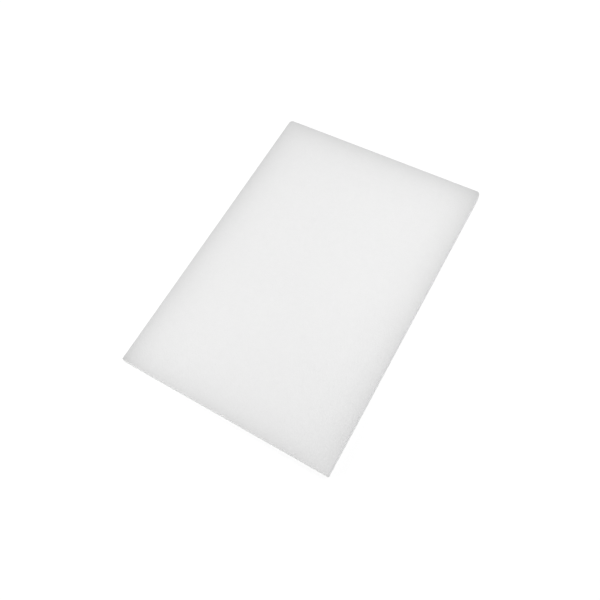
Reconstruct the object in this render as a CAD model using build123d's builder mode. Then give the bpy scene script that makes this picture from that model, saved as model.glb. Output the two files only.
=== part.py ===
from build123d import *
import os

# Plain slab cutting board of solid polyethylene, one piece, the same on both working faces.
# Millimetres, +Z up. The origin is the centre of the underside, +X along the length.

length = 500.0           # along X
width = 350.0            # along Y
thickness = 15.0         # along Z
far_corner_r = 6.0       # plan radius of the two corners at the +X end
near_corner_r = 1.5      # plan radius of the two corners at the -X end, which are nearly square
edge_break_r = 1.0       # round-over along the whole rim of both faces

os.makedirs("parts", exist_ok=True)

with BuildPart() as board_slab:
    # Outline of the slab, with each end's pair of corners rounded to its own radius.
    with BuildSketch(Plane.XY) as outline:
        Rectangle(length, width)
        fillet(outline.vertices().group_by(Axis.X)[-1], radius=far_corner_r)
        fillet(outline.vertices().group_by(Axis.X)[0], radius=near_corner_r)
    extrude(amount=thickness)
    # Both rims are eased, so neither working face has a sharp arris.
    rims = board_slab.faces().filter_by(Axis.Z).edges()
    fillet(rims, radius=edge_break_r)

board_slab.part.label = "board_slab"
export_step(board_slab.part, "parts/board_slab.step")
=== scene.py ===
import math

import bmesh
import bpy
from mathutils import Matrix, Vector, noise


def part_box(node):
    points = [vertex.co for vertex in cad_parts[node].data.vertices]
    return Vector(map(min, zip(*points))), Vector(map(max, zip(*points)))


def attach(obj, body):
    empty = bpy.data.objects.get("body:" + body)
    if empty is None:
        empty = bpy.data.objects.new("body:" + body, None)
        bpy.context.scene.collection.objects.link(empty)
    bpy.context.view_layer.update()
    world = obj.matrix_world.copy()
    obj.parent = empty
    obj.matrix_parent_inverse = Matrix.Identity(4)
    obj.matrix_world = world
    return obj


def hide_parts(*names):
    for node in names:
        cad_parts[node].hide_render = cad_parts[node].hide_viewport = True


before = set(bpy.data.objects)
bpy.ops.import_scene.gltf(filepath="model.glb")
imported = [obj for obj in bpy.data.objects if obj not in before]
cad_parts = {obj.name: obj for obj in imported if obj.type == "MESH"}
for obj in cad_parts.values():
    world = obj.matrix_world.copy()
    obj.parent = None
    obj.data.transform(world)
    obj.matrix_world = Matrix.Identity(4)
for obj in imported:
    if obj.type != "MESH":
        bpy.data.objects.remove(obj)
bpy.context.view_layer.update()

# ---------------------------------------------------------------- sizes, from the frame
low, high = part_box("board_slab")
HALF_X = (high.x - low.x) / 2
HALF_Y = (high.y - low.y) / 2
THICK = high.z - low.z
MID_X, MID_Y = (high.x + low.x) / 2, (high.y + low.y) / 2
R_FAR = 0.006      # plan radius of the corners at the +X end
R_NEAR = 0.0015    # plan radius of the corners at the -X end
RIM = 0.001        # round-over of both faces' rims
BAND = 0.008       # plain border between the face's grid and its rim


# ---------------------------------------------------------------- the slab's mesh
def grid_lines(half, step):
    inner = half - BAND
    n = max(2, round(2 * inner / step))
    return [-inner + 2 * inner * i / n for i in range(n + 1)]


XS = grid_lines(HALF_X, 0.006)
YS = grid_lines(HALF_Y, 0.006)


def stations():
    """The perimeter anticlockwise from the +X end of the -Y side: (centre, radius, outward normal, grid vertex behind it)."""
    out = []

    def straight(points, normal, keys):
        for (x, y), key in zip(points, keys):
            out.append((Vector((x, y)), 0.0, Vector(normal), key))

    def corner(sx, sy, a0, steps):
        r = R_FAR if sx > 0 else R_NEAR
        centre = Vector((sx * (HALF_X - r), sy * (HALF_Y - r)))
        key = (len(XS) - 1 if sx > 0 else 0, len(YS) - 1 if sy > 0 else 0)
        for i in range(steps + 1):
            a = math.radians(a0 + 90 * i / steps)
            out.append((centre, r, Vector((math.cos(a), math.sin(a))), key))

    nx, ny = len(XS), len(YS)
    straight([(x, -HALF_Y) for x in XS], (0, -1), [(i, 0) for i in range(nx)])
    corner(1, -1, -90, 20)
    straight([(HALF_X, y) for y in YS], (1, 0), [(nx - 1, j) for j in range(ny)])
    corner(1, 1, 0, 20)
    straight([(x, HALF_Y) for x in reversed(XS)], (0, 1), [(i, ny - 1) for i in reversed(range(nx))])
    corner(-1, 1, 90, 10)
    straight([(-HALF_X, y) for y in reversed(YS)], (-1, 0), [(0, j) for j in reversed(range(ny))])
    corner(-1, -1, 180, 10)
    return out


def rim_radius(x, y, side):
    """A rim eased by a router and a scraper isn't quite even: it wanders by about a tenth."""
    v = noise.noise(Vector((x * 14, y * 14, 3.1 + side))) + 0.5 * noise.noise(Vector((x * 55, y * 55, 7.7 + side)))
    return RIM * (1 + 0.11 * max(-1.0, min(1.0, v)))


def make_slab():
    bm = bmesh.new()
    normals = []

    def add(x, y, z, n):
        v = bm.verts.new((x + MID_X, y + MID_Y, z + low.z))
        normals.append(n)
        return v

    ring_of = stations()
    arc = 10
    levels = []
    for k in range(arc + 1):
        levels.append(("up", math.radians(90 * k / arc)))
    for t in (0.35, 0.65):
        levels.append(("wall", t))
    for k in range(arc, -1, -1):
        levels.append(("down", math.radians(90 * k / arc)))
    rings = []
    for kind, a in levels:
        ring = []
        for centre, r, n, _ in ring_of:
            face = centre + n * r
            if kind == "wall":
                x, y, z, inset = face.x, face.y, THICK * (1 - a), 0.0
                normal = (n.x, n.y, 0.0)
            else:
                rr = rim_radius(face.x, face.y, 0.0 if kind == "up" else 40.0)
                inset = rr * (1 - math.sin(a))
                drop = rr * (1 - math.cos(a))
                x, y = face.x - n.x * inset, face.y - n.y * inset
                z = THICK - drop if kind == "up" else drop
                up = 1 if kind == "up" else -1
                normal = (n.x * math.sin(a), n.y * math.sin(a), up * math.cos(a))
            ring.append(add(x, y, z, normal))
        rings.append(ring)
    count = len(ring_of)
    for a, b in zip(rings, rings[1:]):
        for i in range(count):
            j = (i + 1) % count
            bm.faces.new((a[i], b[i], b[j], a[j]))
    # Each face: a regular grid, and a border of quads, with a fan at each corner.
    for ring, z, n, up in ((rings[0], THICK, (0, 0, 1), True), (rings[-1], 0.0, (0, 0, -1), False)):
        grid = [[add(x, y, z, n) for y in YS] for x in XS]

        def face(*verts):
            bm.faces.new(verts if up else tuple(reversed(verts)))

        for i in range(len(XS) - 1):
            for j in range(len(YS) - 1):
                face(grid[i][j], grid[i + 1][j], grid[i + 1][j + 1], grid[i][j + 1])
        for i in range(count):
            j = (i + 1) % count
            p, q = ring_of[i][3], ring_of[j][3]
            if p == q:
                face(grid[p[0]][p[1]], ring[i], ring[j])
            else:
                face(grid[p[0]][p[1]], ring[i], ring[j], grid[q[0]][q[1]])
    mesh = bpy.data.meshes.new("board")
    bm.verts.index_update()
    bm.to_mesh(mesh)
    bm.free()
    mesh.polygons.foreach_set("use_smooth", [True] * len(mesh.polygons))
    mesh.normals_split_custom_set_from_vertices(normals)
    mesh.update()
    obj = bpy.data.objects.new("board", mesh)
    bpy.context.scene.collection.objects.link(obj)
    return obj


board = make_slab()


# ---------------------------------------------------------------- node helpers
class Nodes:
    def __init__(self, material):
        material.use_nodes = True
        self.tree = material.node_tree
        self.x = -2400

    def put(self, kind, **settings):
        node = self.tree.nodes.new(kind)
        node.location = (self.x, 0)
        self.x += 40
        for k, v in settings.items():
            setattr(node, k, v)
        return node

    def feed(self, socket, value):
        if isinstance(value, bpy.types.NodeSocket):
            self.tree.links.new(value, socket)
        else:
            socket.default_value = value

    def math(self, op, a, b=0.0, c=0.0, clamp=False):
        node = self.put("ShaderNodeMath", operation=op, use_clamp=clamp)
        for socket, value in zip(node.inputs, (a, b, c)):
            self.feed(socket, value)
        return node.outputs[0]

    def scaled(self, vector, by):
        node = self.put("ShaderNodeVectorMath", operation="MULTIPLY")
        self.feed(node.inputs[0], vector)
        node.inputs[1].default_value = by
        return node.outputs[0]

    def noise(self, vector, scale, detail=2.0, rough=0.5):
        """Noise centred on zero, about -1 to 1."""
        node = self.put("ShaderNodeTexNoise", noise_dimensions="3D")
        self.feed(node.inputs["Vector"], vector)
        node.inputs["Scale"].default_value = scale
        node.inputs["Detail"].default_value = detail
        node.inputs["Roughness"].default_value = rough
        return self.math("MULTIPLY_ADD", node.outputs["Fac"], 2.0, -1.0)

    def smooth(self, value, start, end):
        node = self.put("ShaderNodeMapRange", interpolation_type="SMOOTHSTEP")
        self.feed(node.inputs["Value"], value)
        node.inputs["From Min"].default_value = start
        node.inputs["From Max"].default_value = end
        return node.outputs["Result"]

    def blend(self, factor, a, b):
        """a where factor is 0, b where it is 1."""
        node = self.put("ShaderNodeMix", data_type="FLOAT")
        self.feed(node.inputs[0], factor)
        self.feed(node.inputs[2], a)
        self.feed(node.inputs[3], b)
        return node.outputs[0]


# ---------------------------------------------------------------- white polyethylene
TONE = 0.831           # the sheet's own white, linear
# Painted shade: the base colour is darkened towards the rim, by its own share on each side and at each corner.
# The sheet reads darker towards its rim. Shares lost there, measured against the photograph:
# for the sides -X, +X, -Y, +Y in that order, and for the corners -X -Y, +X -Y, -X +Y, +X +Y.
EDGE_REACH = 0.0222    # how far in from the rim the wide part reaches
EDGE_SHADE = (0.122, 0.189, 0.165, 0.185)
CORNER_SHADE = (-0.212, -0.046, 0.010, -0.176)
LIP_REACH = 0.0045     # and the narrow part
LIP_SHADE = (0.047, 0.033, 0.035, 0.050)
TIP_REACH = 0.0085     # and right in the corners, on the sides too
TIP_SHADE_AND_LIGHT = (0.060, -0.035, -0.035, 0.0)
SIDE_PAINTED_SHADE = 0.775      # the planed side against the middle of the faces, painted darker: painted shade that reaches over the rim
FOOT_PAINTED_LIGHT = 0.848      # and the lower rim, which the floor lights least: painted lighter, a painted light against the shade there


def polyethylene():
    material = bpy.data.materials.new("white_polyethylene")
    n = Nodes(material)
    shader = n.tree.nodes["Principled BSDF"]
    coord = n.put("ShaderNodeTexCoord").outputs["Object"]
    split = n.put("ShaderNodeSeparateXYZ")
    n.feed(split.inputs[0], coord)
    x, y, z = split.outputs
    from_x = n.math("SUBTRACT", HALF_X, n.math("ABSOLUTE", x))
    from_y = n.math("SUBTRACT", HALF_Y, n.math("ABSOLUTE", y))

    # Rounded-box distance inward from the side wall, for what differs between face and side.
    far_end = n.math("GREATER_THAN", x, 0.0)
    far_side = n.math("GREATER_THAN", y, 0.0)
    radius = n.blend(far_end, R_NEAR, R_FAR)
    qx = n.math("SUBTRACT", radius, from_x)
    qy = n.math("SUBTRACT", radius, from_y)
    px, py = n.math("MAXIMUM", qx, 0.0), n.math("MAXIMUM", qy, 0.0)
    reach = n.math("SQRT", n.math("ADD", n.math("MULTIPLY", px, px), n.math("MULTIPLY", py, py)))
    flat = n.math("MINIMUM", n.math("MAXIMUM", qx, qy), 0.0)
    inward = n.math("SUBTRACT", radius, n.math("ADD", reach, flat))
    side = n.math("SUBTRACT", 1.0, n.smooth(inward, 0.0002, 0.0009))

    # Light that enters near an edge leaks out of the side, so the sheet reads darker there: this is painted shade,
    # darkening the base colour near each edge.
    def fade(distance, reach):
        return n.math("EXPONENT", n.math("DIVIDE", n.math("MULTIPLY", distance, -1.0), reach))

    painted_rim_shade = 1.0
    for reach_in, shares in ((EDGE_REACH, EDGE_SHADE), (LIP_REACH, LIP_SHADE)):
        painted_rim_shade = n.math("SUBTRACT", painted_rim_shade, n.math("MULTIPLY", fade(from_x, reach_in), n.blend(far_end, shares[0], shares[1])))
        painted_rim_shade = n.math("SUBTRACT", painted_rim_shade, n.math("MULTIPLY", fade(from_y, reach_in), n.blend(far_side, shares[2], shares[3])))

    def at_corners(reach_in, shares):
        share = n.blend(far_side, n.blend(far_end, shares[0], shares[1]), n.blend(far_end, shares[2], shares[3]))
        return n.math("MULTIPLY", n.math("MULTIPLY", fade(from_x, reach_in), fade(from_y, reach_in)), share)

    painted_rim_shade = n.math("SUBTRACT", painted_rim_shade, at_corners(EDGE_REACH, CORNER_SHADE))
    # Painted shade and light right in the corners: darker at the -X -Y corner, lighter at the +X -Y and -X +Y
    # corners.
    painted_tip_shade_and_light = n.math("SUBTRACT", 1.0, at_corners(TIP_REACH, TIP_SHADE_AND_LIGHT))

    # The press plate's pebble: each dimple's distance from its middle, in cells of 2 mm.
    pebble = n.put("ShaderNodeTexVoronoi", feature="SMOOTH_F1", distance="EUCLIDEAN")
    wander = n.put("ShaderNodeVectorMath", operation="ADD")
    n.feed(wander.inputs[0], coord)
    drift = n.put("ShaderNodeTexNoise", noise_dimensions="3D")
    n.feed(drift.inputs["Vector"], coord)
    drift.inputs["Scale"].default_value = 420.0
    drift.inputs["Detail"].default_value = 2.0
    n.feed(wander.inputs[1], n.scaled(drift.outputs["Color"], (0.0009, 0.0009, 0.0009)))
    n.feed(pebble.inputs["Vector"], wander.outputs[0])
    pebble.inputs["Scale"].default_value = 500.0
    pebble.inputs["Smoothness"].default_value = 0.8
    dimple = pebble.outputs["Distance"]

    # Slow clouding of the pressed sheet, a finer cast to it, and slightly darker where the relief lies low between
    # the pebbles.
    clouds = n.noise(coord, 9.0, 2.0, 0.45)
    cast = n.noise(coord, 120.0, 3.0, 0.55)
    tone = n.math("MULTIPLY_ADD", clouds, 0.007, 1.0)
    tone = n.math("MULTIPLY_ADD", cast, 0.013, tone)
    tone = n.math("MULTIPLY_ADD", n.math("SUBTRACT", dimple, 0.35), -0.020, tone)

    # Planed side: long fine lines along the edge.
    lines = n.noise(n.scaled(coord, (10.0, 10.0, 620.0)), 1.0, 3.0, 0.6)
    tone = n.math("ADD", tone, n.math("MULTIPLY", n.math("MULTIPLY", lines, side), 0.020))

    tone = n.math("MULTIPLY", tone, painted_tip_shade_and_light)
    # Base colour: painted shade at the rim of each face, painted shade on the side and painted light at its foot,
    # on the sheet's own white.
    value = n.math("MULTIPLY", n.math("MULTIPLY", tone, n.blend(side, painted_rim_shade, n.blend(n.smooth(z, 0.0004, 0.0026), FOOT_PAINTED_LIGHT, SIDE_PAINTED_SHADE))), TONE)
    colour = n.put("ShaderNodeCombineColor")
    for socket in colour.inputs[:3]:
        n.feed(socket, value)
    n.feed(shader.inputs["Base Color"], colour.outputs[0])

    # Roughness: pebbled faces are matte and uneven, the planed side and the scraped rim shine a little more.
    patches = n.noise(coord, 22.0, 3.0, 0.6)
    grains = n.noise(coord, 600.0, 2.0, 0.5)
    on_face = n.math("MULTIPLY_ADD", patches, 0.05, 0.47)
    on_face = n.math("MULTIPLY_ADD", grains, 0.05, on_face)
    on_side = n.math("MULTIPLY_ADD", lines, 0.05, 0.44)
    n.feed(shader.inputs["Roughness"], n.blend(side, on_face, on_side))

    # Relief: pebble of the pressed faces, a slow unevenness, and the cutter's lines on the side.
    peel = n.noise(coord, 190.0, 2.0, 0.5)
    height = n.math("MULTIPLY", dimple, -0.00016)
    height = n.math("MULTIPLY_ADD", peel, 0.00004, height)
    cut = n.math("MULTIPLY", lines, 0.000006)
    height = n.blend(side, height, cut)
    bump = n.put("ShaderNodeBump")
    bump.inputs["Strength"].default_value = 1.0
    bump.inputs["Distance"].default_value = 1.0
    n.feed(bump.inputs["Height"], height)
    n.feed(shader.inputs["Normal"], bump.outputs["Normal"])

    shader.inputs["IOR"].default_value = 1.53
    shader.inputs["Subsurface Weight"].default_value = 0.35
    shader.inputs["Subsurface Radius"].default_value = (1.0, 1.0, 1.0)
    shader.inputs["Subsurface Scale"].default_value = 0.004
    return material


board.data.materials.append(polyethylene())
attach(board, "root")
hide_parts("board_slab")


# ---------------------------------------------------------------- the floor
def make_floor():
    """A round white floor that sweeps up into a low wall all round, so that no view meets a horizon."""
    bm = bmesh.new()
    flat, bend, top = 2.6, 1.4, 3.0
    profile = [(r, 0.0) for r in (0.4, 0.8, 1.2, 1.6, 2.0, 2.3, flat)]
    profile += [(flat + bend * math.sin(math.radians(a)), bend * (1 - math.cos(math.radians(a)))) for a in range(5, 95, 5)]
    profile.append((flat + bend, top))
    count = 96
    hub = bm.verts.new((0.0, 0.0, -0.0002))
    rings = [[bm.verts.new((r * math.cos(math.tau * i / count), r * math.sin(math.tau * i / count), z - 0.0002)) for i in range(count)] for r, z in profile]
    for i in range(count):
        bm.faces.new((hub, rings[0][i], rings[0][(i + 1) % count]))
        for a, b in zip(rings, rings[1:]):
            bm.faces.new((a[i], b[i], b[(i + 1) % count], a[(i + 1) % count]))
    mesh = bpy.data.meshes.new("floor")
    bm.to_mesh(mesh)
    bm.free()
    mesh.polygons.foreach_set("use_smooth", [True] * len(mesh.polygons))
    obj = bpy.data.objects.new("floor", mesh)
    bpy.context.scene.collection.objects.link(obj)
    material = bpy.data.materials.new("pale_floor")
    material.use_nodes = True
    shader = material.node_tree.nodes["Principled BSDF"]
    shader.inputs["Base Color"].default_value = (0.30, 0.30, 0.30, 1.0)
    shader.inputs["Roughness"].default_value = 0.85
    shader.inputs["Specular IOR Level"].default_value = 0.2
    # A back-lit white sheet, as on a light table, so the shadow at the slab's foot stays faint.
    # It glows a little more where less lamp light reaches it, and up the sweep it falls to a pale
    # grey, so that a white board still stands out from it in a low view.
    shader.inputs["Emission Color"].default_value = (1.0, 1.0, 1.0, 1.0)
    n = Nodes(material)
    coord = n.put("ShaderNodeTexCoord").outputs["Object"]
    length = n.put("ShaderNodeVectorMath", operation="LENGTH")
    n.feed(length.inputs[0], coord)
    rise = n.smooth(length.outputs["Value"], 0.4, 1.2)
    fall = n.smooth(length.outputs["Value"], 1.2, 2.8)
    height = n.put("ShaderNodeSeparateXYZ")
    n.feed(height.inputs[0], coord)
    up = n.smooth(height.outputs[2], -0.3, 1.3)
    glow = n.blend(fall, n.blend(rise, 0.750, 0.78), 0.80)
    n.feed(shader.inputs["Emission Strength"], n.blend(up, glow, 0.66))
    mesh.materials.append(material)
    return obj


floor = make_floor()


# ---------------------------------------------------------------- light
def area(name, at, to, size, power):
    data = bpy.data.lights.new(name, "AREA")
    data.shape = "SQUARE"
    data.size = size
    data.energy = power
    obj = bpy.data.objects.new(name, data)
    obj.location = at
    obj.rotation_mode = "QUATERNION"
    obj.rotation_quaternion = (Vector(to) - Vector(at)).to_track_quat("-Z", "Y")
    obj.visible_camera = False
    bpy.context.scene.collection.objects.link(obj)
    return obj


area("key", (0.3, -0.3, 1.0), (0.0, 0.0, 0.0), 0.7, 4.22)
area("fill", (-0.6, 1.0, 0.6), (0.0, 0.0, 0.0), 0.8, 6.55)

world = bpy.data.worlds.new("studio")
world.use_nodes = True
world.node_tree.nodes["Background"].inputs["Color"].default_value = (1.0, 1.0, 1.0, 1.0)
world.node_tree.nodes["Background"].inputs["Strength"].default_value = 0.432
bpy.context.scene.world = world


# ---------------------------------------------------------------- camera
camera_data = bpy.data.cameras.new("camera")
camera_data.sensor_fit = "HORIZONTAL"
camera_data.sensor_width = 36.0
camera_data.lens = 37.2247
camera_data.clip_start, camera_data.clip_end = 0.01, 50.0
camera = bpy.data.objects.new("camera", camera_data)
right = Vector((0.497022, -0.861640, -0.102692))
up = Vector((0.803739, 0.412524, 0.428751))
back = Vector((-0.327066, -0.295636, 0.897567))
placed = Matrix((right, up, back)).transposed().to_4x4()
placed.translation = Vector((-0.349310, -0.289038, 0.851424))
camera.matrix_world = placed
bpy.context.scene.collection.objects.link(camera)
bpy.context.scene.camera = camera
bpy.context.scene.view_settings.view_transform = "Standard"
